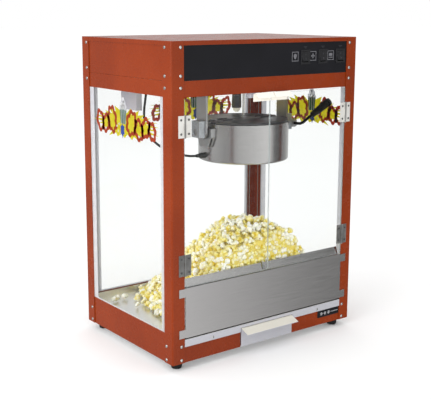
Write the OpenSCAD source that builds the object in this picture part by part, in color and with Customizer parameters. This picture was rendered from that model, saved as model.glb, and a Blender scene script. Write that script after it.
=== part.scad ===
// Tabletop popcorn machine: sheet-metal cabinet on four angle posts, two glass doors,
// a tilting kettle with a driven stirrer under the ceiling, and a crumb drawer below the floor.
// Millimetres, +Z up. X is left to right, the doors face -Y. The origin is at the middle of
// the footprint, on the surface that the feet stand on.

/* [Cabinet] */
// Width of the body over the posts
body_w = 572; // [560:2:590]
// Depth of the body over the posts
body_d = 400; // [390:2:430]
// Height of the body without its feet
body_h = 748; // [740:2:770]
// Height of a rubber foot
foot_h = 20; // [12:1:30]
// Width of a corner post's flange
post_w = 34; // [30:1:40]
// Sheet thickness of a corner post
post_t = 2; // [1.5:0.1:2.5]
// Sheet thickness of the panels
sheet_t = 1.5; // [1:0.1:2]

/* [Heights above the bottom edge of the body] */
// Top edge of the side and rear bottom rails
rail_h = 72; // [60:1:80]
// Top edge of the front bottom rail
front_rail_h = 58; // [50:1:60]
// Top edge of the front apron
apron_z = 182; // [150:1:200]
// Bottom edge of the front header
front_head_z = 623; // [610:1:640]
// Bottom edge of the side and rear headers
side_head_z = 624; // [610:1:640]
// Bottom edge of the control fascia and the upper panels
upper_z = 660; // [655:1:670]
// Underside of the ceiling deck
ceiling_z = 658; // [650:1:664]

/* [Doors] */
// Thickness of a door pane
door_t = 4; // [3:0.5:5]
// Gap around a door pane
door_gap = 2; // [1:0.5:3]
// Height of a hinge
hinge_h = 50; // [40:2:60]
// Radius of a hinge pin
pin_r = 1.5; // [1:0.1:2]

/* [Kettle] */
// Radius of the kettle shell
kettle_r = 118; // [100:1:120]
// Distance of the kettle's centre from the middle of the cabinet
kettle_x = 70; // [40:1:80]
// Height of the underside of the kettle
kettle_z = 432; // [425:1:440]
// Height of the kettle's rim
rim_z = 531; // [520:1:535]
// Height of the tilting axis
pivot_z = 512; // [505:1:515]
// Radius of a trunnion
trunnion_r = 8; // [6:0.5:9]

/* [Crumb drawer] */
// Width of the drawer's front plate
drawer_w = 165; // [140:5:200]
// Height of the drawer's front plate
drawer_h = 47.5; // [40:0.5:48]
// Depth of the drawer's tray
drawer_d = 340; // [250:10:350]
// How far the drawer's lip stands out of the front
lip_out = 25; // [15:1:30]

/* [Hidden] */
$fn = 48;
eps = 0.01;
run_gap = 0.05;

paint = "#b04e2c";
steel = "#a9a5a3";
pale_steel = "#d5d3d3";
black = "#25252b";

half_w = body_w / 2;
screw_head_h = 2.2;
screw_head_r = 3.8;
screw_shank_r = 2;
screw_hole_r = 2.3;
// The front face of the posts, placed so that the footprint is centred on the origin
front_y = -(body_d + screw_head_h - lip_out) / 2;

panel_y = post_t;                       // outer face of the front panels, behind the posts
panel_x = half_w - post_t;              // outer face of the side panels
inner_w = body_w - 2 * post_w;          // clear width between the posts
skin_inset = 4;                         // how far a panel stops short of the body's corner
cover_t = 1.5;
top_lip_h = 10;
opening_l = -inner_w / 2;
screw_edge = 25;                        // from the body's corner to a row of screws
post_screw_z = [734, 671, 644.5, 41.7, 8.3];

glass_t = 3;
glass_lap = 10;                         // how far a pane reaches behind the panels
trim_front_w = 14;
trim_rear_w = 18;
trim_back_w = 7;                        // on the rear pane
trim_base_h = 3;
trim_lap = 3;                           // how far a trim reaches behind the posts

door_z0 = apron_z + door_gap;
door_z1 = front_head_z - 3;
door_w = inner_w / 2 - door_gap - 0.75;
door_r = 4;
pull_w = 51;
hinge_x = inner_w / 2 - 1;
hinge_y = -2.5;
knuckle_r = 2.5;
leaf_t = 1.5;
leaf_w = 17;
hinge_zs = [212 + hinge_h / 2, 533 + hinge_h / 2];
knuckle_z = hinge_h / 2 - 17;           // half-height of the door's middle knuckle
knuckle_clear = 0.3;
leaf_screw_z = 16;                      // from a hinge's middle to its screws
leaf_screw_x = leaf_w / 2 + 2;
leaf_dome_r = 3.2;

kettle_y = -front_y;                    // over the middle of the footprint
ear_in = kettle_r + 0.4;
hanger_x = 134;                         // from the kettle's centre to the middle of a hanger
hanger_t = 6;
hanger_w = 40;
pan_round_z = rim_z - 30;               // where the pan's wall begins to curve inwards
lid_rod_y = 12;
lid_rod_z = 6;
shaft_r = 3;
fork_bottom = 647;
fork_r = 9;
tongue_t = 2.5;

tray_z = 52;
tray_wall_h = 18;
drawer_notch = drawer_w + 3;
drawer_top = 44;
drawer_tray_w = 150;
drawer_floor = 3;

handle_x = kettle_r + 53;
handle_r = 4;
handle_run = [[0, -10, 0], [0, -20, 0], [0, -32, 1], [0, -43, 5], [1, -52, 12], [3, -62, 20], [10, -98, 47]];
handle_tip = [16, -127, 69];

cable_r = 3;
// The kettle's lead, from the ceiling to the gland on the shell.
cable_pts = [
    [-152, 304, 656], [-153, 304, 640], [-156, 302, 622], [-160, 299, 604], [-164, 297, 586],
    [-168, 295, 568], [-171, 292, 550], [-173, 288, 532], [-171, 281, 512], [-165, 273, 496],
    [-156, 262, 482], [-144, 249, 470], [-126, 236, 460], [-106, 222, 452], [-86, 212, 448],
    [-68, 209, 447]
];

heap_h = 250;                           // height of the popcorn over the tray
heap_round = 10;                        // how softly the heap's planes meet
// Planes of the heap: a point on each, the direction in which it rises, its slope and its
// height over the tray at that point.
heap_planes = [
    [-146, 375, -16, 1.7, 0], [195, 150, 200, 1.5, 0], [0, 415, -80, 0.9, 0], [0, 18, 74, 0.8, 215]
];
heap_x = [for (x = [-273 : 21 : 273]) x];
heap_y = [for (y = [18 : 28 : 382]) y];

inlet_spot = [190, 700];

rocker_x = [111.5, 170, 230];
rocker_z = 702;
rocker_w = 20;
rocker_h = 25;
rocker_axis_y = 6;
rocker_tilt = 7;                        // half of the rocker's swing

// Moves the body-bottom-and-front-face coordinates used below into the part's own frame.
module place() translate([0, front_y, foot_h]) children();

// Box from its lowest to its highest corner.
module box(a, b) translate(a) cube(b - a);

// Both the shape and its mirror image across the middle plane.
module both_sides() {
    children();
    mirror([1, 0, 0]) children();
}

// Cylinder along +Y from y0 to y1.
module rod_y(x, y0, y1, z, r) translate([x, y0, z]) rotate([-90, 0, 0]) cylinder(h = y1 - y0, r = r);

// Cylinder along +X from x0 to x1.
module rod_x(x0, x1, y, z, r) translate([x0, y, z]) rotate([0, 90, 0]) cylinder(h = x1 - x0, r = r);

function unit(v) = v / norm(v);
function path_dir(pts, i) = unit(pts[min(i + 1, len(pts) - 1)] - pts[max(i - 1, 0)]);
function path_ring(pts, i, r, sides) =
    let (d = path_dir(pts, i), u = unit(cross(d, [0, 1, 0.3])), v = cross(d, u))
    [for (k = [0 : sides - 1]) pts[i] + r * (cos(k * 360 / sides) * u + sin(k * 360 / sides) * v)];

// Closed round tube through a list of points.
module sweep(pts, r, sides) {
    last = len(pts) - 1;
    walls = [for (i = [0 : last - 1], k = [0 : sides - 1]) let (next = (k + 1) % sides)
        [i * sides + k, i * sides + next, (i + 1) * sides + next, (i + 1) * sides + k]];
    ends = [[for (k = [sides - 1 : -1 : 0]) k], [for (k = [0 : sides - 1]) last * sides + k]];
    polyhedron([for (i = [0 : last]) each path_ring(pts, i, r, sides)], concat(walls, ends));
}

// Pan-head screw along +Z: its head stands above z = 0 and its shank reaches down.
module screw(shank = 6, head_r = screw_head_r, head_h = screw_head_h) {
    difference() {
        rotate_extrude($fn = 24) polygon([
            [0, 0], [head_r, 0], [head_r, head_h * 0.45], [head_r * 0.8, head_h * 0.85],
            [head_r * 0.4, head_h], [0, head_h]
        ]);
        for (turn = [0, 90]) rotate([0, 0, turn])
            translate([-head_r * 0.55, -0.4, head_h * 0.45]) cube([head_r * 1.1, 0.8, head_h]);
    }
    translate([0, 0, -shank]) cylinder(h = shank, r = screw_shank_r, $fn = 16);
}

// Runs its child at each post screw of the front or rear face, pointing out of that face.
module at_face_screws(rear = false) {
    for (side = [-1, 1], z = post_screw_z)
        translate([side * (half_w - screw_edge), rear ? body_d : 0, z])
            rotate([rear ? -90 : 90, 0, 0]) children();
}

// Runs its child at each post screw of the left and right faces, pointing outwards.
module at_side_screws() {
    for (side = [-1, 1], y = [screw_edge, body_d - screw_edge], z = post_screw_z)
        translate([side * half_w, y, z]) rotate([0, side * 90, 0]) children();
}

module screw_holes(r = screw_hole_r) {
    at_face_screws() translate([0, 0, -12]) cylinder(h = 24, r = r, $fn = 16);
    at_face_screws(true) translate([0, 0, -12]) cylinder(h = 24, r = r, $fn = 16);
    at_side_screws() translate([0, 0, -12]) cylinder(h = 24, r = r, $fn = 16);
}

// Outline of one corner post: an angle with a rounded outer corner at the origin.
module post_outline() {
    difference() {
        union() {
            translate([4, 0]) square([post_w - 4, post_w]);
            translate([0, 4]) square([post_w, post_w - 4]);
            translate([4, 4]) circle(r = 4, $fn = 32);
        }
        translate([post_t, post_t]) square(post_w);
    }
}

module plain_posts() both_sides() translate([-half_w, 0, 0])
    linear_extrude(height = body_h - cover_t) post_outline();

module front_posts() color(paint) place() difference() {
    plain_posts();
    screw_holes();
}

module rear_posts() color(paint) place() difference() {
    translate([0, body_d, 0]) mirror([0, 1, 0]) plain_posts();
    screw_holes();
}

// Flat lid with a lip that drops between the posts on every side.
module top_cover() color(paint) place() {
    translate([0, 0, body_h - cover_t]) linear_extrude(height = cover_t)
        difference() {
            translate([-half_w, 0]) square([body_w, body_d]);
            for (x = [-1, 1], y = [0, 1]) translate([x * half_w, y * body_d]) difference() {
                square(8, center = true);
                translate([-x * 4, (1 - 2 * y) * 4]) circle(r = 4, $fn = 32);
            }
        }
    for (y = [0.3, body_d - 0.3 - cover_t])
        box([opening_l + 0.5, y, body_h - top_lip_h], [-opening_l - 0.5, y + cover_t, body_h - 1]);
    both_sides() box([-half_w + 0.3, post_w + 0.5, body_h - top_lip_h],
                     [-half_w + 0.3 + cover_t, body_d - post_w - 0.5, body_h - 1]);
}

// Sheet behind the front posts' flanges, between two heights.
module front_sheet(z0, z1) {
    box([-panel_x + skin_inset, panel_y, z0], [panel_x - skin_inset, panel_y + sheet_t, z1]);
}

module rear_sheet(z0, z1) translate([0, body_d, 0]) mirror([0, 1, 0]) front_sheet(z0, z1);

module side_sheet(z0, z1) {
    box([-panel_x, skin_inset, z0], [-panel_x + sheet_t, body_d - skin_inset, z1]);
}

module control_fascia() color(black) place() difference() {
    front_sheet(upper_z, body_h - cover_t - 0.5);
    screw_holes();
    for (x = rocker_x)
        box([x - 13.5, 0, rocker_z - 15.5], [x + 13.5, 10, rocker_z + 15.5]);
}

module front_header() color(paint) place() difference() {
    union() {
        front_sheet(front_head_z, upper_z - 0.5);
        box([opening_l - 10, panel_y, front_head_z],
            [-opening_l + 10, panel_y + 18, front_head_z + sheet_t]);
        box([opening_l - 10, panel_y, ceiling_z - sheet_t], [-opening_l + 10, 20, ceiling_z]);
    }
    screw_holes();
}

module side_upper_panels() color(paint) place() difference() {
    both_sides() side_sheet(upper_z, body_h - cover_t - 0.5);
    screw_holes();
}

module rear_upper_panel() color(paint) place() difference() {
    rear_sheet(upper_z, body_h - cover_t - 0.5);
    screw_holes();
    for (row = [0 : 5], x = [-150 : 30 : 30])
        box([x, body_d - 8, 678 + row * 9], [x + 22, body_d, 681 + row * 9]);
    rod_y(inlet_spot[0], body_d - 10, body_d, inlet_spot[1], 11.2);
}

// Strips above the side and rear windows, each with a ledge that carries the ceiling.
module side_headers() color(paint) place() difference() {
    union() {
        both_sides() {
            side_sheet(side_head_z, upper_z - 0.5);
            box([-panel_x + eps, post_w + 12, ceiling_z - sheet_t],
                [-panel_x + 20, body_d - post_w - 12, ceiling_z]);
        }
        rear_sheet(side_head_z, upper_z - 0.5);
        box([opening_l + 12, body_d - 20, ceiling_z - sheet_t],
            [-opening_l - 12, body_d - panel_y - eps, ceiling_z]);
    }
    screw_holes();
}

module front_rail() color(paint) place() difference() {
    front_sheet(0, front_rail_h);
    screw_holes();
    box([-drawer_notch / 2, 0, -1], [drawer_notch / 2, 10, drawer_h + 2]);
}

module side_rails() color(paint) place() difference() {
    both_sides() side_sheet(0, rail_h);
    screw_holes();
}

module rear_rail() color(paint) place() difference() {
    rear_sheet(0, rail_h);
    screw_holes();
}

module foot_spots() {
    for (x = [-1, 1], y = [30, body_d - 30])
        translate([x * (half_w - 31), y, 0]) children();
}

module base_plate() color(steel) place() difference() {
    box([-panel_x + 3, 5, 0], [panel_x - 3, body_d - 5, 1.5]);
    foot_spots() translate([0, 0, -1]) cylinder(h = 5, r = 3.2, $fn = 24);
}

// Tapered rubber feet, each on its own bolt through the base.
module feet() color("#1c1c20") place() foot_spots() {
    rotate_extrude() polygon([[0, 0], [0, -foot_h], [11, -foot_h], [12.5, -foot_h + 1.5], [15, 0]]);
    cylinder(h = 6, r = 3, $fn = 24);
}

module ceiling_deck() color(pale_steel) place() difference() {
    box([-panel_x + 2, 6, ceiling_z], [panel_x - 2, body_d - 6, ceiling_z + 1.2]);
    translate([kettle_x, kettle_y, ceiling_z - 2]) cylinder(h = 6, r = fork_r + 2);
    lamp_spot() translate([0, 0, ceiling_z - 2]) cylinder(h = 6, r = 10.3);
    translate([cable_pts[0][0], cable_pts[0][1], ceiling_z - 2]) cylinder(h = 6, r = 6.2, $fn = 24);
}

// Tray that is the cabinet's floor, with slots that let the crumbs fall into the drawer.
module floor_tray() color(steel) place() difference() {
    box([-panel_x + 6, 12, tray_z - 1.2], [panel_x - 6, body_d - 8, tray_z + tray_wall_h]);
    box([-panel_x + 7.2, 13.2, tray_z], [panel_x - 7.2, body_d - 9.2, tray_z + 50]);
    for (x = [-60 : 20 : 60], y = [60 : 50 : 260])
        box([x - 3.5, y, tray_z - 5], [x + 3.5, y + 32, tray_z + 5]);
}

module side_glasses() color([0.8, 0.9, 0.95, 0.35]) place()
    both_sides() box([-panel_x + sheet_t, post_w - 14, rail_h - glass_lap],
                     [-panel_x + sheet_t + glass_t, body_d - post_w + 14, side_head_z + glass_lap]);

module rear_glass() color([0.8, 0.9, 0.95, 0.35]) place()
    box([opening_l - 10, body_d - panel_y - sheet_t - glass_t, rail_h - glass_lap],
        [-opening_l + 10, body_d - panel_y - sheet_t, side_head_z + glass_lap]);

// White frame round the outside of a pane: two uprights and a thin foot strip.
module trim_frame(length, near_w, far_w) {
    height = side_head_z - rail_h;
    difference() {
        box([-trim_lap, 0, 0], [length + trim_lap, sheet_t, height]);
        box([near_w, -1, trim_base_h], [length - far_w, sheet_t + 1, height + 1]);
    }
}

module glass_trims() color("white") place() {
    both_sides() translate([-panel_x + sheet_t, post_w, rail_h]) rotate([0, 0, 90])
        trim_frame(body_d - 2 * post_w, trim_front_w, trim_rear_w);
    translate([opening_l, body_d - panel_y - sheet_t, rail_h])
        trim_frame(inner_w, trim_back_w, trim_back_w);
}

// Front wall below the doors, hung on the posts by a tab at each corner.
module front_apron() color(steel) place() {
    z0 = front_rail_h + 3;
    box([opening_l + 2, -sheet_t, z0], [-opening_l - 2, 0, apron_z]);
    both_sides() for (z = [z0 + 1, apron_z - 21])
        box([opening_l - 16, -sheet_t, z], [opening_l + 3, 0, z + 20]);
    box([opening_l + 2, -sheet_t, apron_z - sheet_t], [-opening_l - 2, 8, apron_z]);
    both_sides() box([opening_l + 2, -sheet_t, z0], [opening_l + 2 + sheet_t, 9, apron_z]);
}

// Guard behind the foot of the doors, leaning into the cabinet, with cut-off corners.
module sill_flange() color(steel) place() difference() {
    rotate([90, 0, 90]) translate([0, 0, opening_l + 4])
        linear_extrude(height = inner_w - 8)
            polygon([[8, apron_z - 30], [9.5, apron_z - 30], [9.5, apron_z], [15.5, apron_z + 18],
                     [14, apron_z + 18], [8, apron_z]]);
    both_sides() translate([opening_l + 4, 0, apron_z]) rotate([0, -45, 0])
        translate([-30, 0, 0]) cube([30, 30, 40]);
    box([-11.5, 0, apron_z + 2], [-8.5, 30, apron_z + 30]);
}

module strip_screw_spots() for (x = [-170, 170]) translate([x, -0.5, 46]) rotate([90, 0, 0]) children();

module front_strip() color(pale_steel) place() difference() {
    box([opening_l + 0.5, -0.5, front_rail_h - 19], [-opening_l - 0.5, panel_y, front_rail_h - 1]);
    box([-drawer_notch / 2, -5, 0], [drawer_notch / 2, 10, drawer_h + 2]);
    strip_screw_spots() translate([0, 0, -8]) cylinder(h = 16, r = screw_hole_r, $fn = 16);
}

// Blank plate with rounded corners.
module label_plate() color(black) place() translate([212.5, panel_y, 28.5]) rotate([90, 0, 0])
    linear_extrude(height = 1) union() {
        square([76, 13], center = true);
        square([70, 19], center = true);
        for (x = [-35, 35], y = [-6.5, 6.5]) translate([x, y]) circle(r = 3, $fn = 24);
    }

// Angle runners on the base that the crumb drawer slides between.
module drawer_guides() color(steel) place() both_sides() {
    box([-drawer_tray_w / 2 - 2.5, 12, 1.5], [-drawer_tray_w / 2 - 1, 360, 30]);
    box([-drawer_tray_w / 2 - 16, 12, 1.5], [-drawer_tray_w / 2 - 1, 360, 3]);
}

module panel_screws() color("#c9c9c6") place() {
    at_face_screws() screw(6);
    at_face_screws(true) screw(6);
    at_side_screws() screw(6);
    strip_screw_spots() screw(2, 3.4, 0.9);
}

// Runs its child at the middle of both hinges on the left hinge line.
module on_hinge_lines() for (z = hinge_zs) translate([-hinge_x, hinge_y, z]) children();

module knuckle(z0, z1) translate([0, 0, z0]) difference() {
    cylinder(h = z1 - z0, r = knuckle_r, $fn = 32);
    translate([0, 0, -1]) cylinder(h = z1 - z0 + 2, r = pin_r + run_gap, $fn = 32);
}

module leaf_plate(x0, x1, z0, z1) box([x0, -hinge_y - leaf_t, z0], [x1, -hinge_y, z1]);

module leaf_hole(x, z) translate([x, 0, z]) rotate([-90, 0, 0]) cylinder(h = 8, r = screw_hole_r, $fn = 16);

// Low screw heads on the face of a leaf.
module leaf_domes(x) for (z = [-1, 1] * leaf_screw_z)
    translate([x, -hinge_y - leaf_t, z]) rotate([90, 0, 0]) cylinder(h = 1, r = leaf_dome_r, $fn = 24);

module post_leaf() {
    for (s = [-1, 1]) {
        low = s < 0 ? -hinge_h / 2 : knuckle_z + knuckle_clear;
        high = s < 0 ? -knuckle_z - knuckle_clear : hinge_h / 2;
        knuckle(low, high);
        difference() {
            leaf_plate(-leaf_w, 0, low, high);
            translate([0, 0, low - 1]) cylinder(h = high - low + 2, r = pin_r + run_gap, $fn = 32);
            leaf_hole(-leaf_screw_x, s * leaf_screw_z);
        }
    }
    difference() {
        leaf_plate(-leaf_w, -knuckle_r - 0.3, -hinge_h / 2, hinge_h / 2);
        for (z = [-1, 1] * leaf_screw_z) leaf_hole(-leaf_screw_x, z);
    }
}

module hinge_post_leaves() color(pale_steel) place() both_sides() on_hinge_lines() {
    post_leaf();
    leaf_domes(-leaf_screw_x);
}

module hinge_pins() color("#8d8d8d") place() both_sides() on_hinge_lines() {
    translate([0, 0, -hinge_h / 2]) cylinder(h = hinge_h, r = pin_r, $fn = 32);
    for (z = [-hinge_h / 2 - 1, hinge_h / 2]) translate([0, 0, z]) cylinder(h = 1, r = 2.2, $fn = 32);
}

module door_leaves() color(pale_steel) on_hinge_lines() {
    difference() {
        union() {
            knuckle(-knuckle_z, knuckle_z);
            leaf_plate(0, leaf_w, -knuckle_z, knuckle_z);
            leaf_plate(knuckle_r + 0.3, leaf_w, -hinge_h / 2, hinge_h / 2);
        }
        translate([0, 0, -knuckle_z - 1]) cylinder(h = 2 * knuckle_z + 2, r = pin_r + run_gap, $fn = 32);
    }
    leaf_domes(leaf_screw_x);
}

// Left pane, in the opening from beside the post to the middle.
module door_pane() color([0.85, 0.92, 0.95, 0.3])
    translate([opening_l + door_gap, door_t, door_z0]) rotate([90, 0, 0])
        linear_extrude(height = door_t) union() {
            translate([0, door_r]) square([door_w, door_z1 - door_z0 - 2 * door_r]);
            translate([door_r, 0]) square([door_w - 2 * door_r, door_z1 - door_z0]);
            for (x = [door_r, door_w - door_r], z = [door_r, door_z1 - door_z0 - door_r])
                translate([x, z]) circle(r = door_r, $fn = 32);
        }

// Bent pull on the top inner corner of a door: its lip slopes down over the fingers.
module door_pull() color("#e6e2d8") translate([-pull_w - 2, 0, 0]) rotate([90, 0, 90])
    linear_extrude(height = pull_w) polygon([
        [0, 602.5], [0, 619.5], [-10, 623.8], [-20.5, 612.4], [-19.4, 611.4], [-10.4, 621.9],
        [-1.5, 618.2], [-1.5, 602.5]
    ]);

module left_door_glass() place() door_pane();
module left_door_handle() place() door_pull();
module left_door_leaves() place() door_leaves();
module right_door_glass() place() mirror([1, 0, 0]) door_pane();
module right_door_handle() place() mirror([1, 0, 0]) door_pull();
module right_door_leaves() place() mirror([1, 0, 0]) door_leaves();

// Catch blocks under the header, behind the top edge of each door.
module door_magnets() color("#c8c6d2") place() both_sides()
    box([-60, door_t + 0.5, front_head_z - 12], [-30, door_t + 12, front_head_z]);

module stir_motor() color("#8a8c90") place() translate([kettle_x, kettle_y, ceiling_z + 1.2]) {
    difference() {
        union() {
            box([-40, -30, 0], [40, 30, 22]);
            translate([-12, 0, 22]) cylinder(h = 42, r = 26);
            for (x = [-50, 50]) box([min(x, 0), -14, 0], [max(x, 0), 14, 2]);
        }
        translate([0, 0, -1]) cylinder(h = 13, r = 4 + run_gap);
    }
}

module lamp_spot() translate([167, 340, 0]) children();

// Thin conical shade that hangs through the ceiling.
module lamp_shade() color("#55504c") place() lamp_spot() difference() {
    rotate_extrude() polygon([
        [13.5, 545], [13.5, 560], [10, ceiling_z + 6], [8.8, ceiling_z + 6], [12.3, 560], [12.3, 545]
    ]);
}

module lamp_bulb() color([1, 0.97, 0.88]) place() lamp_spot() {
    rotate_extrude() polygon([
        [0, 532], [5, 533], [9, 537], [11, 543], [11, 550], [8, 562], [6, 580], [6, ceiling_z + 8],
        [8.79, ceiling_z + 8], [8.79, ceiling_z + 12], [0, ceiling_z + 12]
    ]);
}

module outlet_box() color("#c8ccd0") place()
    box([-188, 300, 562], [-172, 374, ceiling_z]);

// Flat bars from the ceiling that carry the kettle's trunnions.
module kettle_hangers() color(steel) place() for (side = [-1, 1])
    translate([kettle_x + side * hanger_x, kettle_y, 0]) difference() {
        rotate([90, 0, 90]) linear_extrude(height = hanger_t, center = true) union() {
            translate([-hanger_w / 2, pivot_z]) square([hanger_w, ceiling_z - pivot_z]);
            translate([0, pivot_z]) circle(r = hanger_w / 2);
        }
        rod_x(-10, 10, 0, pivot_z, trunnion_r + run_gap);
    }

// Bearing blocks on the outer faces of the hangers.
module pivot_blocks() color("#bcc6cf") place() for (side = [-1, 1])
    translate([kettle_x + side * (hanger_x + hanger_t / 2), kettle_y, 0])
        mirror([side < 0 ? 1 : 0, 0, 0]) difference() {
            box([0, -16, pivot_z - 14], [18, 16, pivot_z + 28]);
            rod_x(-1, 19, 0, pivot_z, trunnion_r + run_gap);
        }

// Trapezoid brackets on the kettle's sides with the trunnions that the kettle
// tilts on, and the flat-faced hub that the handle is screwed into.
module kettle_ears() color(steel) place() translate([kettle_x, kettle_y, 0]) {
    for (side = [-1, 1]) mirror([side < 0 ? 1 : 0, 0, 0]) {
        difference() {
            translate([kettle_r - 9, 0, 0]) rotate([90, 0, 90]) linear_extrude(height = 19)
                polygon([[-30, 520], [30, 520], [30, 500], [18, 472], [-18, 472], [-30, 500]]);
            translate([0, 0, kettle_z]) cylinder(h = 200, r = ear_in, $fn = 128);
            box([kettle_r + 3, -28.5, 440], [kettle_r + 8.5, 28.5, 518.5]);
        }
        rod_x(kettle_r + 8, kettle_r + (side > 0 ? 50 : 34), 0, pivot_z, trunnion_r);
    }
    difference() {
        rod_x(handle_x - 8, handle_x + 8, 0, pivot_z, 12);
        box([handle_x - 9, -14, pivot_z - 14], [handle_x + 9, -10, pivot_z + 14]);
    }
}

// Straight-sided drum with a rounded foot, open inside.
module kettle_shell() color(steel) place() translate([kettle_x, kettle_y, kettle_z])
    rotate_extrude($fn = 128) difference() {
        union() {
            translate([0, 6]) square([kettle_r, rim_z - kettle_z - 6]);
            square([kettle_r - 6, 8]);
            translate([kettle_r - 6, 6]) circle(r = 6, $fn = 32);
            translate([kettle_r - 2, rim_z - kettle_z - 2]) circle(r = 2, $fn = 16);
        }
        translate([-10, 1.5]) square([kettle_r - 6 + 10, 10]);
        translate([-10, 8]) square([kettle_r - 1.5 + 10, rim_z - kettle_z]);
        translate([-20, -20]) square([20, 200]);
    }

module pan_bowl(r, floor_z) intersection() {
    translate([0, pan_round_z]) circle(r = r, $fn = 96);
    translate([-1, floor_z]) square([kettle_r, 60]);
}

// Rounded cooking pan that hangs inside the shell from its rim.
module kettle_pan() color("#9a9896") place() translate([kettle_x, kettle_y, 0]) difference() {
    rotate_extrude($fn = 96) difference() {
        union() {
            translate([0, pan_round_z]) square([kettle_r - 3, 28]);
            pan_bowl(kettle_r - 3, kettle_z + 24);
        }
        translate([0, pan_round_z]) square([kettle_r - 3 - sheet_t, 40]);
        pan_bowl(kettle_r - 3 - sheet_t, kettle_z + 24 + sheet_t);
        translate([-200, 0]) square([200, 800]);
    }
}

module heater_plate() color("#6e6a66") place() translate([kettle_x, kettle_y, kettle_z + 12])
    difference() {
        cylinder(h = 12, r = 84);
        translate([0, 0, -1]) cylinder(h = 8, r = 70);
    }

// Flat bar across the rim: it carries both lid hinges and guides the stirrer's shaft.
module lid_bar() color(pale_steel) place() translate([kettle_x, kettle_y, 0]) {
    difference() {
        union() {
            box([-kettle_r + 1, -9, rim_z], [kettle_r - 1, 9, rim_z + 2]);
            translate([0, 0, rim_z]) cylinder(h = 9, r = 7);
            for (x = [-1, 1], y = [-1, 1])
                translate([x * 97.5, y * 10.5, rim_z + 4.5]) cube([3, 9, 9], center = true);
        }
        translate([0, 0, rim_z - 5]) cylinder(h = 20, r = shaft_r + run_gap);
        for (y = [-1, 1]) rod_x(-110, 110, y * lid_rod_y, rim_z + lid_rod_z, pin_r);
    }
    for (y = [-1, 1]) rod_x(-99, 99, y * lid_rod_y, rim_z + lid_rod_z, pin_r);
}

// Half of the lid, over the front of the kettle, with two rolled knuckles on the bar's rod.
module half_lid() {
    knuckle_out = 3;
    difference() {
        union() {
            translate([0, 0, rim_z + 3.2]) cylinder(h = 1.2, r = kettle_r - 1, $fn = 96);
            translate([0, 0, rim_z + 3.4]) rotate_extrude($fn = 96)
                translate([kettle_r - 1.5, 0]) circle(r = 2, $fn = 16);
            translate([0, 0, rim_z + 4]) cylinder(h = 1.4, r = kettle_r - 16, $fn = 96);
        }
        box([-200, -lid_rod_y - 3.5, 0], [200, 200, 900]);
        both_sides() box([95, -lid_rod_y - 4.5, 0], [100, 0, 900]);
    }
    for (x = [-1, 1]) difference() {
        union() {
            rod_x(x * 62 - 15, x * 62 + 15, -lid_rod_y, rim_z + lid_rod_z, knuckle_out);
            box([x * 62 - 15, -lid_rod_y - 6, rim_z + 3.2], [x * 62 + 15, -lid_rod_y, rim_z + 4.4]);
        }
        rod_x(x * 62 - 20, x * 62 + 20, -lid_rod_y, rim_z + lid_rod_z, pin_r + run_gap);
    }
}

module front_lid() color("#77757a") place() translate([kettle_x, kettle_y, 0]) half_lid();
module rear_lid() color("#77757a") place() translate([kettle_x, kettle_y, 0]) mirror([0, 1, 0]) half_lid();

// Vertical shaft with two low blades in the pan and a driving tongue at its top.
module stirrer() color("#cfcfcf") place() translate([kettle_x, kettle_y, 0]) {
    pan_floor = kettle_z + 26.5;
    translate([0, 0, pan_floor]) cylinder(h = fork_bottom - 1 - pan_floor, r = shaft_r);
    box([-tongue_t / 2, -4, fork_bottom - 2], [tongue_t / 2, 4, fork_bottom + 8]);
    translate([0, 0, pan_floor]) cylinder(h = 12, r = 7);
    for (turn = [0, 180]) rotate([0, 0, turn]) {
        box([0, -1.5, pan_floor + 1], [62, 1.5, pan_floor + 9]);
        box([60, -1.5, pan_floor + 1], [63, 1.5, pan_floor + 22]);
        rotate([0, 0, 40]) box([4, -1.5, pan_floor + 1], [34, 1.5, pan_floor + 7]);
    }
}

// Output spindle of the motor, with a slot across its end for the stirrer's tongue.
module drive_fork() color("#9fa1a5") place() translate([kettle_x, kettle_y, 0]) difference() {
    union() {
        translate([0, 0, fork_bottom]) cylinder(h = ceiling_z - fork_bottom, r = fork_r);
        translate([0, 0, ceiling_z - 1]) cylinder(h = 12, r = 4);
    }
    box([-tongue_t / 2 - 0.4, -20, fork_bottom - 1], [tongue_t / 2 + 0.4, 20, fork_bottom + 9]);
}

// Bent bar from the hub, forwards and up to the grip.
module handle_rod() color(black) place()
    translate([kettle_x + handle_x, kettle_y, pivot_z]) sweep(handle_run, handle_r, 16);

module handle_grip() color(black) place() translate([kettle_x + handle_x, kettle_y, pivot_z]) {
    step = handle_tip - handle_run[6];
    length = norm(step);
    bore = handle_r + run_gap;
    translate(handle_run[6]) rotate([0, acos(step[2] / length), atan2(step[1], step[0])])
        rotate_extrude($fn = 32) polygon([
            [bore, -30], [8, -30], [11, length - 8], [9.5, length - 2], [5, length],
            [0, length], [0, 4], [bore, 4]
        ]);
}

module kettle_cable() color("#202022") place() sweep(cable_pts, cable_r, 8);

// Strain relief on the kettle's shell, where the lead goes in.
module kettle_gland() color("#303034") place() {
    gland_gap = 0.5;
    mouth = cable_pts[len(cable_pts) - 1];
    inward = unit([kettle_x, kettle_y, mouth[2]] - mouth);
    turn = atan2(inward[1], inward[0]);
    difference() {
        translate(mouth + gland_gap * inward) rotate([0, 90, turn]) union() {
            cylinder(h = 12, r1 = 4.2, r2 = 5.5, $fn = 32);
            translate([0, 0, 11]) cylinder(h = 12, r = 7.5, $fn = 32);
        }
        translate([kettle_x, kettle_y, kettle_z - 10]) cylinder(h = 100, r = kettle_r + 0.1, $fn = 128);
    }
}

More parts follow.
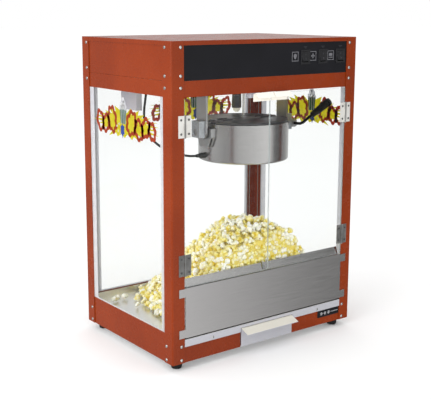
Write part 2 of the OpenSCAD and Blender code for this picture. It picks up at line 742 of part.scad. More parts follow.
// Frames of the rocker switches, snapped into the fascia.
module switch_housings() color("#141416") place() for (x = rocker_x) translate([x, 0, rocker_z])
    difference() {
        union() {
            box([-15, 0.2, -17], [15, panel_y, 17]);
            box([-13.4, 0.2, -15.4], [13.4, 24, 15.4]);
        }
        box([-rocker_w / 2 - 0.5, -1, -rocker_h / 2 - 0.5], [rocker_w / 2 + 0.5, 18, rocker_h / 2 + 0.5]);
        rod_x(-12, 12, rocker_axis_y, 0, pin_r + run_gap);
    }

// One rocker on its two side pivots, pressed in at its foot. Its face is two planes that
// meet at a shallow angle.
module rocker(i) color("#1b1b1e") place() translate([rocker_x[i], rocker_axis_y, rocker_z])
    rotate([-rocker_tilt, 0, 0]) {
        rotate([90, 0, 90]) linear_extrude(height = rocker_w, center = true)
            polygon([[-8, -11], [-6, 0], [-8, 11], [2, 8], [4, 0], [2, -8]]);
        rod_x(-rocker_w / 2 - 2, rocker_w / 2 + 2, 0, 0, pin_r);
    }

module light_rocker() rocker(0);
module motor_rocker() rocker(1);
module heat_rocker() rocker(2);

module inlet_rod(y0, y1, r) rod_y(inlet_spot[0], y0, y1, inlet_spot[1], r);

// Gland for the mains lead, clamped on both faces of the rear panel.
module mains_inlet() color(black) place() difference() {
    union() {
        inlet_rod(body_d - 16, body_d + 2, 11);
        inlet_rod(body_d - panel_y, body_d + 2, 14);
        inlet_rod(body_d - 16, body_d - panel_y - sheet_t, 14);
    }
    inlet_rod(body_d - 17, body_d + 3, 4.2);
}

// Height of the popcorn over the floor at a point: the lowest of the heap's planes, rounded
// where they meet.
function heap_plane(p, x, y) = p[3] * ((x - p[0]) * cos(p[2]) + (y - p[1]) * sin(p[2])) + p[4];
function heap_rise(x, y) =
    -heap_round * ln(exp(-heap_h / heap_round)
        + [for (p = heap_planes) exp(-heap_plane(p, x, y) / heap_round)] * [for (p = heap_planes) 1]);

function at(i, j) = j * len(heap_x) + i;

module popcorn_heap() color("#f3e6a8") place() intersection() {
    nx = len(heap_x);
    ny = len(heap_y);
    top = [for (y = heap_y, x = heap_x) [x, y, tray_z + max(-20, heap_rise(x, y))]];
    base = [for (y = heap_y, x = heap_x) [x, y, tray_z - 30]];
    m = nx * ny;
    up = [for (j = [0 : ny - 2], i = [0 : nx - 2]) each [
        [at(i, j), at(i, j + 1), at(i + 1, j + 1)], [at(i, j), at(i + 1, j + 1), at(i + 1, j)]]];
    down = [for (f = up) [f[2] + m, f[1] + m, f[0] + m]];
    front = [for (i = [0 : nx - 2]) [at(i, 0), at(i + 1, 0), at(i + 1, 0) + m, at(i, 0) + m]];
    rear = [for (i = [0 : nx - 2])
        [at(i + 1, ny - 1), at(i, ny - 1), at(i, ny - 1) + m, at(i + 1, ny - 1) + m]];
    left = [for (j = [0 : ny - 2]) [at(0, j + 1), at(0, j), at(0, j) + m, at(0, j + 1) + m]];
    right = [for (j = [0 : ny - 2])
        [at(nx - 1, j), at(nx - 1, j + 1), at(nx - 1, j + 1) + m, at(nx - 1, j) + m]];
    polyhedron(concat(top, base), concat(up, down, front, rear, left, right));
    box([-half_w, 0, tray_z + 0.5], [half_w, body_d, ceiling_z]);
}

// Open tray that catches the crumbs.
module drawer_tray() color(pale_steel) place() difference() {
    box([-drawer_tray_w / 2, 1.5, drawer_floor], [drawer_tray_w / 2, 1.5 + drawer_d, drawer_top]);
    box([-drawer_tray_w / 2 + 1, 2.5, drawer_floor + 1], [drawer_tray_w / 2 - 1, drawer_d + 0.5, 90]);
}

// Front plate whose top edge folds out into a sloping finger lip.
module drawer_front() color("#bdb9c3") place() translate([-drawer_w / 2, 0, 0]) {
    box([0, 0, 0.5], [drawer_w, 1.5, 0.5 + drawer_h]);
    rotate([90, 0, 90]) linear_extrude(height = drawer_w)
        polygon([[1.5, 0.5 + drawer_h], [0, 0.5 + drawer_h], [-lip_out, 38.5], [-lip_out, 36.8], [1.5, 46.2]]);
}

front_posts();
rear_posts();
top_cover();
control_fascia();
front_header();
side_upper_panels();
rear_upper_panel();
side_headers();
front_rail();
side_rails();
rear_rail();
base_plate();
feet();
ceiling_deck();
floor_tray();
side_glasses();
rear_glass();
glass_trims();
front_apron();
sill_flange();
front_strip();
label_plate();
drawer_guides();
panel_screws();
hinge_post_leaves();
hinge_pins();
door_magnets();
stir_motor();
lamp_shade();
lamp_bulb();
outlet_box();
kettle_hangers();
pivot_blocks();
switch_housings();
mains_inlet();
popcorn_heap();
drive_fork();
stirrer();
kettle_shell();
kettle_pan();
heater_plate();
kettle_ears();
lid_bar();
handle_rod();
handle_grip();
kettle_gland();
kettle_cable();
front_lid();
rear_lid();
left_door_glass();
left_door_handle();
left_door_leaves();
right_door_glass();
right_door_handle();
right_door_leaves();
light_rocker();
motor_rocker();
heat_rocker();
drawer_tray();
drawer_front();
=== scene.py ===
import math
import random

import bmesh
import bpy
import numpy as np
from mathutils import Matrix, Vector, noise
from mathutils.bvhtree import BVHTree

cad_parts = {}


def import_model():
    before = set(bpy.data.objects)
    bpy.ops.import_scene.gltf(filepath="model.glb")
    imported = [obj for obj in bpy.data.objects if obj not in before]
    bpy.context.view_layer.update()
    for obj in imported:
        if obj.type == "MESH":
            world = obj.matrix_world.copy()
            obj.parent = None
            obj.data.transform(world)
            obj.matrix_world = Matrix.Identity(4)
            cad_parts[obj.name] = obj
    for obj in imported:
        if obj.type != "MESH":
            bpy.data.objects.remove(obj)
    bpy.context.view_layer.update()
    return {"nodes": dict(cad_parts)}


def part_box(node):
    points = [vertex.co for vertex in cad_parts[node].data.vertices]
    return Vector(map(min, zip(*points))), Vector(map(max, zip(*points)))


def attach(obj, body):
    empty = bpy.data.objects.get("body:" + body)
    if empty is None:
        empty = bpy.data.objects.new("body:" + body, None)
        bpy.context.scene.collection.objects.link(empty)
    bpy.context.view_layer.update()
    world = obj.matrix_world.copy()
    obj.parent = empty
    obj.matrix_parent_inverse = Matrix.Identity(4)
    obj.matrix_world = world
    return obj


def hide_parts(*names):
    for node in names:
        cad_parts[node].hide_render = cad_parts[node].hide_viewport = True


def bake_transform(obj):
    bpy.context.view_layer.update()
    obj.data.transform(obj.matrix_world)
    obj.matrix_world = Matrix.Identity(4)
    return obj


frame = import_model()
nodes = frame["nodes"]

MM = 0.001
FULL_TURN = 2 * math.pi


# ---------------------------------------------------------------- camera

CAMERA_PLACE = Vector((-1.3900, -1.8085, 0.8390))
CAMERA_AZIMUTH, CAMERA_DIP, CAMERA_ROLL = (math.radians(a) for a in (36.943, 10.906, 0.168))
CAMERA_LENS = 74.63
CAMERA_SHIFT = (0.0066, -0.0463)


def make_camera():
    """A camera at eye height in front of the left corner, looking slightly down."""
    ahead = Vector((
        math.sin(CAMERA_AZIMUTH) * math.cos(CAMERA_DIP),
        math.cos(CAMERA_AZIMUTH) * math.cos(CAMERA_DIP),
        -math.sin(CAMERA_DIP),
    ))
    level = Vector((math.cos(CAMERA_AZIMUTH), -math.sin(CAMERA_AZIMUTH), 0))
    turn = Matrix.Rotation(CAMERA_ROLL, 3, -ahead)
    right = turn @ level
    up = right.cross(ahead)
    camera = bpy.data.objects.new("camera", bpy.data.cameras.new("camera"))
    bpy.context.scene.collection.objects.link(camera)
    camera.matrix_world = Matrix((right, up, -ahead)).transposed().to_4x4()
    camera.location = CAMERA_PLACE
    camera.data.lens = CAMERA_LENS
    camera.data.shift_x, camera.data.shift_y = CAMERA_SHIFT
    bpy.context.scene.camera = camera


make_camera()


# ---------------------------------------------------------------- shader helpers

class Look:
    """One Principled material and the nodes that give its surface a pattern."""

    def __init__(self, name, sockets):
        self.material = bpy.data.materials.new(name)
        self.material.use_nodes = True
        self.tree = self.material.node_tree
        self.tree.nodes.clear()
        self.output = self.add("OutputMaterial")
        self.shader = self.add("BsdfPrincipled")
        self.link(self.shader.outputs[0], self.output.inputs["Surface"])
        for socket, value in sockets.items():
            self.shader.inputs[socket].default_value = value
        self.object_place = self.add("TexCoord").outputs["Object"]

    def add(self, kind, **settings):
        node = self.tree.nodes.new("ShaderNode" + kind)
        for key, value in settings.items():
            setattr(node, key, value)
        return node

    def link(self, source, target):
        self.tree.links.new(source, target)

    def feed(self, socket, source):
        """Drives one of the shader's own sockets."""
        self.link(source, self.shader.inputs[socket])

    def math(self, operation, a, b=0.0):
        node = self.add("Math", operation=operation)
        for slot, value in zip(node.inputs, (a, b)):
            if isinstance(value, (int, float)):
                slot.default_value = value
            else:
                self.link(value, slot)
        return node.outputs[0]

    def place(self, stretch=(1, 1, 1), source=None):
        node = self.add("Mapping")
        node.inputs["Scale"].default_value = stretch
        self.link(source or self.object_place, node.inputs["Vector"])
        return node.outputs[0]

    def round_place(self, centre):
        """Coordinates that run round an upright axis: metres round it, metres from it, metres up."""
        shift = self.add("Mapping")
        shift.inputs["Location"].default_value = (-centre[0], -centre[1], 0)
        self.link(self.object_place, shift.inputs["Vector"])
        split = self.add("SeparateXYZ")
        self.link(shift.outputs[0], split.inputs[0])
        join = self.add("CombineXYZ")
        x, y, z = split.outputs
        self.link(self.math("MULTIPLY", self.math("ARCTAN2", y, x), 0.1), join.inputs[0])
        out = self.math("SQRT", self.math("ADD", self.math("POWER", x, 2), self.math("POWER", y, 2)))
        self.link(out, join.inputs[1])
        self.link(z, join.inputs[2])
        return join.outputs[0]

    def noise(self, scale, detail=3.0, stretch=(1, 1, 1), source=None, roughness=0.5):
        node = self.add("TexNoise")
        node.inputs["Scale"].default_value = scale
        node.inputs["Detail"].default_value = detail
        node.inputs["Roughness"].default_value = roughness
        self.link(self.place(stretch, source), node.inputs["Vector"])
        return node.outputs["Fac"]

    def spread(self, source, low, high, start=0.0, end=1.0):
        """Maps start..end of a value to low..high."""
        node = self.add("MapRange")
        self.link(source, node.inputs["Value"])
        for socket, value in (("From Min", start), ("From Max", end), ("To Min", low), ("To Max", high)):
            node.inputs[socket].default_value = value
        return node.outputs[0]

    def blend(self, share, a, b, how="MIX"):
        """Mixes two colours; a and b are colours or outputs, share a number or an output."""
        node = self.add("Mix", data_type="RGBA", blend_type=how)
        for slot, value in ((node.inputs[0], share), (node.inputs[6], a), (node.inputs[7], b)):
            if isinstance(value, bpy.types.NodeSocket):
                self.link(value, slot)
            elif isinstance(value, tuple):
                slot.default_value = (*value, 1)
            else:
                slot.default_value = value
        return node.outputs[2]

    def edges(self, radius):
        """Near 1 along sharp edges and 0 on open faces."""
        rounded = self.add("Bevel", samples=4)
        rounded.inputs["Radius"].default_value = radius
        flat = self.add("NewGeometry")
        dot = self.add("VectorMath", operation="DOT_PRODUCT")
        self.link(rounded.outputs[0], dot.inputs[0])
        self.link(flat.outputs["Normal"], dot.inputs[1])
        return self.spread(dot.outputs["Value"], 1.0, 0.0, 0.75, 0.995)

    def bump(self, height, distance, strength=1.0):
        node = self.add("Bump")
        node.inputs["Distance"].default_value = distance
        node.inputs["Strength"].default_value = strength
        self.link(height, node.inputs["Height"])
        self.link(node.outputs[0], self.shader.inputs["Normal"])


def dress(look, *names):
    """Gives CAD nodes a material in every slot."""
    for name in names:
        for slot in nodes[name].material_slots:
            slot.material = look.material


def shade(value):
    """An sRGB colour, 0 to 255 a channel, as linear light."""
    parts = [c / 255 for c in value]
    return tuple(c / 12.92 if c <= 0.04045 else ((c + 0.055) / 1.055) ** 2.4 for c in parts)


# ---------------------------------------------------------------- materials

def powder_coat():
    """Orange-red powder coat: gloss, fine orange peel, rubbed a little lighter on its edges."""
    look = Look("orange_powder_coat", {"IOR": 1.45, "Specular IOR Level": 0.3})
    deep, plain, worn = shade((126, 43, 5)), shade((138, 50, 8)), shade((168, 82, 42))
    cloud = look.spread(look.noise(6.0), 0.0, 1.0, 0.35, 0.65)
    colour = look.blend(cloud, deep, plain)
    specks = look.spread(look.noise(900.0, 1.0), 0.0, 0.35, 0.62, 0.75)
    colour = look.blend(specks, colour, worn)
    rubbed = look.math("MULTIPLY", look.edges(0.9 * MM), look.spread(look.noise(70.0), 0.1, 0.8, 0.35, 0.7))
    colour = look.blend(rubbed, colour, worn)
    look.feed("Base Color", colour)
    look.feed("Roughness", look.spread(look.noise(40.0), 0.2, 0.32, 0.3, 0.7))
    look.bump(look.noise(420.0, 2.0), 0.05 * MM, 0.4)
    return look


def fascia_film():
    """Blue-black satin film over the control panel."""
    look = Look("fascia_film", {"IOR": 1.45, "Specular IOR Level": 0.3})
    tone = look.spread(look.noise(9.0, 2.0), 0.0, 1.0, 0.3, 0.7)
    colour = look.blend(tone, shade((14, 14, 19)), shade((20, 20, 26)))
    look.feed("Base Color", look.blend(look.edges(0.6 * MM), colour, shade((70, 70, 76))))
    look.feed("Roughness", look.spread(look.noise(60.0), 0.36, 0.46, 0.3, 0.7))
    look.bump(look.noise(1400.0, 1.0), 0.03 * MM, 0.5)
    return look


def brushed(name, tint, rough=(0.24, 0.36), grain=(0.25, 30, 30), centre=None):
    """Brushed sheet metal. The grain runs along the axis with the smallest stretch."""
    look = Look(name, {"Metallic": 1.0, "Anisotropic": 0.5})
    source = look.round_place(centre) if centre else None
    lines = look.noise(60.0, 3.0, grain, source, 0.6)
    patches = look.noise(5.0, 2.0)
    dark, light = (tuple(c * f for c in tint) for f in (0.9, 1.06))
    colour = look.blend(look.spread(lines, 0.0, 1.0, 0.3, 0.7), dark, light)
    colour = look.blend(look.spread(patches, 0.0, 0.25, 0.4, 0.7), colour, dark)
    colour = look.blend(look.math("MULTIPLY", look.edges(0.5 * MM), 0.6), colour, (0.9, 0.89, 0.87))
    look.feed("Base Color", colour)
    look.feed("Roughness", look.spread(lines, *rough, 0.3, 0.7))
    look.bump(lines, 0.004 * MM, 0.5)
    return look


def cast_metal(name, tint, rough=(0.35, 0.5)):
    """Dull machined or pressed metal with light scuffs."""
    look = Look(name, {"Metallic": 1.0})
    scuffs = look.spread(look.noise(150.0, 5.0), 0.0, 1.0, 0.4, 0.7)
    colour = look.blend(scuffs, tint, tuple(c * 0.8 for c in tint))
    colour = look.blend(look.edges(0.4 * MM), colour, tuple(min(1, c * 1.35) for c in tint))
    look.feed("Base Color", colour)
    look.feed("Roughness", look.spread(scuffs, *rough))
    look.bump(look.noise(500.0, 2.0), 0.05 * MM, 0.4)
    return look


def moulded(name, tint, rough=(0.35, 0.5), grain=700.0, depth=0.08, worn=(0.25, 0.25, 0.26)):
    """Moulded plastic or rubber with a fine spark-eroded grain."""
    look = Look(name, {"IOR": 1.46, "Specular IOR Level": 0.3})
    tone = look.spread(look.noise(25.0), 0.0, 1.0, 0.35, 0.65)
    colour = look.blend(tone, tuple(c * 0.85 for c in tint), tuple(min(1, c * 1.1) for c in tint))
    colour = look.blend(look.math("MULTIPLY", look.edges(0.5 * MM), 0.35), colour, worn)
    look.feed("Base Color", colour)
    look.feed("Roughness", look.spread(look.noise(80.0), *rough, 0.3, 0.7))
    look.bump(look.noise(grain, 1.0), depth * MM, 0.6)
    return look


def painted(name, tint, rough=(0.3, 0.45)):
    """Light enamel with faint marks of use."""
    look = Look(name, {"IOR": 1.5})
    marks = look.spread(look.noise(35.0, 5.0), 0.0, 0.3, 0.5, 0.75)
    colour = look.blend(marks, tint, tuple(c * 0.8 for c in tint))
    look.feed("Base Color", look.blend(look.math("MULTIPLY", look.edges(0.5 * MM), 0.4), colour, (0.9, 0.9, 0.9)))
    look.feed("Roughness", look.spread(look.noise(90.0), *rough, 0.3, 0.7))
    look.bump(look.noise(600.0, 1.0), 0.04 * MM, 0.5)
    return look


def folded_alloy():
    """Satin aluminium sheet: grey on its upright faces, with a cream painted highlight on every face that points
    up.
    """
    look = Look("folded_alloy", {"Metallic": 0.25})
    lines = look.noise(60.0, 3.0, (0.25, 30, 30), None, 0.6)
    grey = look.blend(look.spread(lines, 0.0, 1.0, 0.3, 0.7), (0.5, 0.5, 0.54), (0.58, 0.58, 0.62))
    facing = look.add("SeparateXYZ")
    look.link(look.add("TexCoord").outputs["Normal"], facing.inputs[0])
    # Painted highlight: faces that point up turn cream, as if lit from above.
    upward_highlight = look.spread(facing.outputs["Z"], 0.0, 1.0, 0.3, 0.6)
    colour = look.blend(upward_highlight, grey, shade((240, 236, 224)))
    look.feed("Base Color", look.blend(look.edges(0.4 * MM), colour, (0.85, 0.84, 0.82)))
    look.feed("Roughness", look.spread(lines, 0.35, 0.45, 0.3, 0.7))
    look.bump(lines, 0.003 * MM, 0.5)
    return look


def plated_steel():
    """Zinc plating with painted reflections: a creamy painted bright reflection on the upper hinges, and a grey
    painted dark reflection on the lower ones and on every knuckle.
    """
    look = Look("hinge_steel", {"Metallic": 0.3})
    clouds = look.spread(look.noise(60.0, 4.0), 0.0, 1.0, 0.35, 0.65)
    # Lit and shaded copies of one plating: a painted bright reflection and a painted dark reflection.
    painted_bright_reflection = look.blend(clouds, (0.72, 0.71, 0.67), (0.8, 0.79, 0.75))
    painted_dark_reflection = look.blend(clouds, (0.13, 0.13, 0.125), (0.19, 0.19, 0.185))
    place = look.add("SeparateXYZ")
    look.link(look.object_place, place.inputs[0])
    # Upper hinges take the painted bright reflection, lower ones the painted dark reflection.
    colour = look.blend(look.spread(place.outputs["Z"], 0.0, 1.0, 0.35, 0.45), painted_dark_reflection, painted_bright_reflection)
    knuckle_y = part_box("hinge_post_leaves")[0].y + 2.2 * MM
    # The knuckles take the painted dark reflection too.
    colour = look.blend(look.spread(place.outputs["Y"], 0.9, 0.0, knuckle_y - 0.5 * MM, knuckle_y), colour, painted_dark_reflection)
    rubbed = look.math("MULTIPLY", look.edges(0.4 * MM), 0.4)
    look.feed("Base Color", look.blend(rubbed, colour, (0.8, 0.79, 0.76)))
    look.feed("Roughness", look.spread(clouds, 0.3, 0.4))
    look.bump(look.noise(500.0, 1.0), 0.02 * MM, 0.3)
    return look


def clear_pane(name, across, tint=(0.994, 0.999, 0.997)):
    """Thin clear sheet: it lets straight light through, mirrors a little, and frosts at its cut edges."""
    look = Look(name, {"IOR": 1.45, "Base Color": (0.5, 0.55, 0.55, 1)})
    look.feed("Roughness", look.spread(look.noise(30.0), 0.02, 0.07, 0.3, 0.7))
    through = look.add("BsdfTransparent")
    through.inputs["Color"].default_value = (*tint, 1)
    gloss = look.add("BsdfGlossy")
    gloss.inputs["Roughness"].default_value = 0.03
    facing = look.add("LayerWeight").outputs["Facing"]
    mirror = look.math("ADD", look.math("MULTIPLY", look.math("POWER", facing, 5), 0.9), 0.022)
    face = look.add("MixShader")
    look.link(mirror, face.inputs[0])
    look.link(through.outputs[0], face.inputs[1])
    look.link(gloss.outputs[0], face.inputs[2])
    faces = look.add("SeparateXYZ")
    look.link(look.add("TexCoord").outputs["Normal"], faces.inputs[0])
    on_edge = look.math("LESS_THAN", look.math("ABSOLUTE", faces.outputs[across]), 0.5)
    pane = look.add("MixShader")
    look.link(look.math("MULTIPLY", on_edge, 0.55), pane.inputs[0])
    look.link(face.outputs[0], pane.inputs[1])
    look.link(look.shader.outputs[0], pane.inputs[2])
    look.link(pane.outputs[0], look.output.inputs["Surface"])
    return look


def lamp_glass():
    """Frosted bulb with a warm tint."""
    look = Look("lamp_glass", {"Roughness": 0.35, "Emission Color": (1, 0.93, 0.78, 1), "Emission Strength": 0.12})
    look.feed("Base Color", look.blend(look.noise(40.0), shade((238, 232, 214)), shade((250, 246, 232))))
    return look


def popped_corn():
    """Popcorn flesh: white puffs, butter yellow in the folds, a deeper, darker yellow in the deepest folds as
    painted crease shade, and brown hull at the root of some.
    """
    look = Look("popped_corn", {"Roughness": 0.75, "Subsurface Weight": 0.15, "Subsurface Scale": 0.004})
    look.shader.inputs["Subsurface Radius"].default_value = (1.0, 0.8, 0.5)

    def attribute(name):
        node = look.add("Attribute", attribute_name=name)
        return node.outputs["Fac"]

    white, butter = shade((255, 255, 247)), shade((240, 224, 74))
    deep, hull = shade((226, 194, 40)), shade((124, 88, 30))
    fold = look.spread(attribute("fold"), 0.0, 1.0, 0.1, 0.8)
    tone = attribute("tone")
    grain = look.spread(look.noise(260.0, 3.0), 0.0, 1.0, 0.35, 0.7)
    colour = look.blend(look.math("MULTIPLY", look.math("POWER", tone, 2), 0.5), white, butter)
    colour = look.blend(look.math("MULTIPLY", fold, tone), colour, butter)
    colour = look.blend(look.math("MULTIPLY", look.math("MULTIPLY", grain, tone), 0.55), colour, butter)
    # Painted shade: the deepest folds of each kernel turn a deeper, darker yellow.
    colour = look.blend(look.math("MULTIPLY", look.math("POWER", fold, 2), tone), colour, deep)
    colour = look.blend(look.spread(attribute("hull"), 0.0, 1.0, 0.35, 0.75), colour, hull)
    look.feed("Base Color", colour)
    look.bump(look.noise(500.0, 4.0), 0.4 * MM, 0.5)
    return look


def vinyl(name, tint, edge, through=0.5):
    """Film or thin white plastic: slightly mottled, and light glows through it."""
    look = Look(name, {"Roughness": 0.4, "IOR": 1.4})
    colour = look.blend(look.spread(look.noise(60.0, 4.0), 0.0, 1.0, 0.35, 0.7), tint, edge)
    look.feed("Base Color", colour)
    look.bump(look.noise(800.0, 1.0), 0.02 * MM, 0.4)
    glow = look.add("BsdfTranslucent")
    look.link(colour, glow.inputs["Color"])
    film = look.add("MixShader")
    film.inputs[0].default_value = through
    look.link(look.shader.outputs[0], film.inputs[1])
    look.link(glow.outputs[0], film.inputs[2])
    look.link(film.outputs[0], look.output.inputs["Surface"])
    return look


KETTLE_LOW, KETTLE_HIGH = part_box("kettle_shell")
KETTLE_AXIS = tuple((KETTLE_LOW[i] + KETTLE_HIGH[i]) / 2 for i in (0, 1))

STEEL = (0.56, 0.55, 0.545)
black_plastic = moulded("black_plastic", (0.016, 0.016, 0.018))
black_rubber = moulded("black_rubber", (0.012, 0.012, 0.013), (0.6, 0.8), 900.0, 0.1, (0.12, 0.12, 0.12))


def dress_cad():
    """A finish for every CAD node."""
    paint = powder_coat()
    dress(paint, "front_posts", "rear_posts", "top_cover", "front_header", "side_upper_panels",
          "rear_upper_panel", "side_headers", "front_rail", "side_rails", "rear_rail")
    dress(fascia_film(), "control_fascia", "label_plate")
    dress(brushed("apron_steel", STEEL, (0.17, 0.26)), "front_apron", "sill_flange")
    dress(brushed("tray_steel", (0.9, 0.895, 0.9), (0.3, 0.42)), "floor_tray", "base_plate", "drawer_guides")
    dress(brushed("kettle_steel", (0.58, 0.565, 0.56), (0.17, 0.27), (0.25, 1, 30), KETTLE_AXIS), "kettle_shell")
    dress(brushed("lid_steel", (0.16, 0.16, 0.17), (0.3, 0.42)), "front_lid", "rear_lid")
    dress(brushed("bracket_steel", (0.5, 0.5, 0.5), (0.28, 0.4), (30, 30, 0.25)),
          "kettle_hangers", "kettle_ears", "lid_bar")
    dress(cast_metal("pan_steel", (0.36, 0.345, 0.33)), "kettle_pan", "heater_plate")
    dress(folded_alloy(), "front_strip", "drawer_front", "drawer_tray")
    dress(brushed("deck_metal", (0.8, 0.8, 0.81), (0.45, 0.6)), "ceiling_deck")
    dress(cast_metal("block_aluminium", (0.62, 0.65, 0.68)), "pivot_blocks")
    dress(cast_metal("bright_steel", (0.72, 0.72, 0.71), (0.18, 0.32)),
          "panel_screws", "hinge_pins", "drive_fork", "stirrer")
    dress(plated_steel(), "hinge_post_leaves", "left_door_leaves", "right_door_leaves")
    dress(cast_metal("motor_casing", (0.3, 0.31, 0.32)), "stir_motor")
    dress(cast_metal("shade_metal", (0.13, 0.13, 0.14)), "lamp_shade")
    dress(vinyl("white_trim", (0.86, 0.86, 0.89), (0.8, 0.8, 0.84), 0.6), "glass_trims")
    dress(painted("cream_metal", shade((252, 248, 238))), "left_door_handle", "right_door_handle")
    dress(painted("grey_enclosure", shade((205, 203, 214))), "outlet_box", "door_magnets")
    dress(clear_pane("side_pane", 0), "side_glasses")
    dress(clear_pane("front_pane", 1), "rear_glass", "left_door_glass", "right_door_glass")
    dress(lamp_glass(), "lamp_bulb")
    dress(black_plastic, "switch_housings", "light_rocker", "motor_rocker", "heat_rocker",
          "mains_inlet", "kettle_gland")
    dress(moulded("grip_plastic", (0.005, 0.005, 0.005), (0.35, 0.5), 300.0, 0.1, (0.03, 0.03, 0.03)),
          "handle_grip")
    dress(cast_metal("black_rod", (0.02, 0.02, 0.021), (0.3, 0.4)), "handle_rod")
    dress(black_rubber, "feet", "kettle_cable")


dress_cad()


# ---------------------------------------------------------------- mesh helpers

def new_piece(name, mesh, look, body, smooth=True):
    """Links a mesh as one piece of the object and lets it ride on its body."""
    for polygon in mesh.polygons:
        polygon.use_smooth = smooth
    mesh.materials.append(look.material)
    piece = bpy.data.objects.new(name, mesh)
    bpy.context.scene.collection.objects.link(piece)
    if body:
        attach(piece, body)
    return piece


def mesh_of(name, points, faces):
    mesh = bpy.data.meshes.new(name)
    mesh.from_pydata(points, [], faces)
    mesh.validate()
    mesh.update()
    return mesh


def smooth_path(points, steps):
    """A Catmull-Rom curve through the points, with that many steps in each span."""
    path = []
    ends = [2 * points[0] - points[1]] + points + [2 * points[-1] - points[-2]]
    for a, b, c, d in zip(ends, ends[1:], ends[2:], ends[3:]):
        for i in range(steps):
            t = i / steps
            path.append(0.5 * ((2 * b) + (c - a) * t + (2 * a - 5 * b + 4 * c - d) * t * t
                               + (3 * b - a - 3 * c + d) * t ** 3))
    path.append(points[-1])
    return path


def tube(name, path, radii, sides):
    """A closed tube along a path, with one radius for each of its points."""
    ahead = [(b - a).normalized() for a, b in zip(path, path[1:])]
    ahead = [ahead[0]] + [(a + b).normalized() for a, b in zip(ahead, ahead[1:])] + [ahead[-1]]
    side = ahead[0].orthogonal().normalized()
    points, faces = [], []
    for place, along, radius in zip(path, ahead, radii):
        side = (side - along * side.dot(along)).normalized()
        other = along.cross(side)
        for k in range(sides):
            a = FULL_TURN * k / sides
            points.append(place + radius * (math.cos(a) * side + math.sin(a) * other))
    for i in range(len(path) - 1):
        for k in range(sides):
            m = (k + 1) % sides
            faces.append((i * sides + k, i * sides + m, (i + 1) * sides + m, (i + 1) * sides + k))
    faces.append(tuple(reversed(range(sides))))
    last = (len(path) - 1) * sides
    faces.append(tuple(last + k for k in range(sides)))
    return mesh_of(name, points, faces)


# ---------------------------------------------------------------- kettle lead

LEAD_RADIUS = 3 * MM
LEAD_ROUTE_MM = [
    (-152, 115.4, 676), (-153, 115.4, 660), (-156, 113.4, 642), (-160, 110.4, 624), (-164, 108.4, 606),
    (-168, 106.4, 588), (-171, 103.4, 570), (-173, 99.4, 552), (-171, 92.4, 532), (-165, 84.4, 516),
    (-156, 73.4, 502), (-144, 60.4, 490), (-126, 47.4, 480), (-106, 33.4, 472), (-86, 23.4, 468),
    (-68, 20.4, 467),
]


def kettle_lead():
    """The kettle's flexible lead, from the ceiling down and round to the gland on the shell."""
    route = [Vector(p) * MM for p in LEAD_ROUTE_MM]
    path = smooth_path(route, 4)
    mesh = tube("kettle_lead", path, [LEAD_RADIUS] * len(path), 16)
    lead = new_piece("kettle_lead", mesh, black_rubber, None)
    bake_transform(lead)
    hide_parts("kettle_cable")

    boot_points = path[:10]
    ribs = [LEAD_RADIUS * (2.3 - 1.15 * i / 9) * (1.0 if i % 2 else 0.9) for i in range(10)]
    boot_mesh = tube("lead_boot", boot_points, ribs, 24)
    boot = new_piece("lead_boot", boot_mesh, black_rubber, "cabinet")


kettle_lead()


# ---------------------------------------------------------------- popcorn

KERNEL_SHAPES = 9
KERNEL_FACES = 170
KERNEL_SIZE = (9.5 * MM, 14 * MM)
KERNEL_SPACING = 12.4 * MM
FACES_PER_PIECE = 180000
STRAYS_MM = [(-237, 152), (-227, 158), (-206, 156), (-176, 100), (-186, 88), (-192, 40),
             (-184, 20), (-196, 28), (-205, 0), (-190, 64), (-182, 130), (-214, 76)]
corn = popped_corn()


def random_direction(rng):
    z = rng.uniform(-1, 1)
    a = rng.uniform(0, FULL_TURN)
    flat = math.sqrt(1 - z * z)
    return Vector((flat * math.cos(a), flat * math.sin(a), z))


def kernel_shape(seed):
    """A popped kernel about 2 across: a burst of round lobes with creases between them."""
    rng = random.Random(seed)
    lobes = [(random_direction(rng) * rng.uniform(0.42, 0.62), rng.uniform(0.32, 0.52))
             for _ in range(rng.randint(6, 9))]
    root = random_direction(rng)
    bm = bmesh.new()
    bmesh.ops.create_icosphere(bm, subdivisions=4, radius=1)
    for v in bm.verts:
        d = v.co.normalized()
        reach = 0.3
        for centre, radius in lobes:
            along = d.dot(centre)
            inside = radius ** 2 - centre.length_squared + along ** 2
            if inside > 0:
                reach = max(reach, along + math.sqrt(inside))
        ripple = noise.noise(d * 5 + Vector((seed, 0, 0)))
        v.co = d * (reach + 0.07 * ripple)
    mesh = bpy.data.meshes.new("kernel")
    bm.to_mesh(mesh)
    bm.free()
    holder = bpy.data.objects.new("kernel", mesh)
    bpy.context.scene.collection.objects.link(holder)
    thin = holder.modifiers.new("thin", "DECIMATE")
    thin.ratio = KERNEL_FACES / len(mesh.polygons)
    depsgraph = bpy.context.evaluated_depsgraph_get()
    small = bpy.data.meshes.new_from_object(holder.evaluated_get(depsgraph), depsgraph=depsgraph)
    points = np.array([v.co for v in small.vertices])
    faces = np.array([p.vertices for p in small.polygons])
    bpy.data.objects.remove(holder)
    reach = np.linalg.norm(points, axis=1)
    fold = 1 - (reach - reach.min()) / (reach.max() - reach.min())
    hull = (points / reach[:, None]) @ np.array(root)
    hull = np.clip((hull - 0.86) / 0.14, 0, 1) * fold
    return points / reach.max(), faces, fold, hull


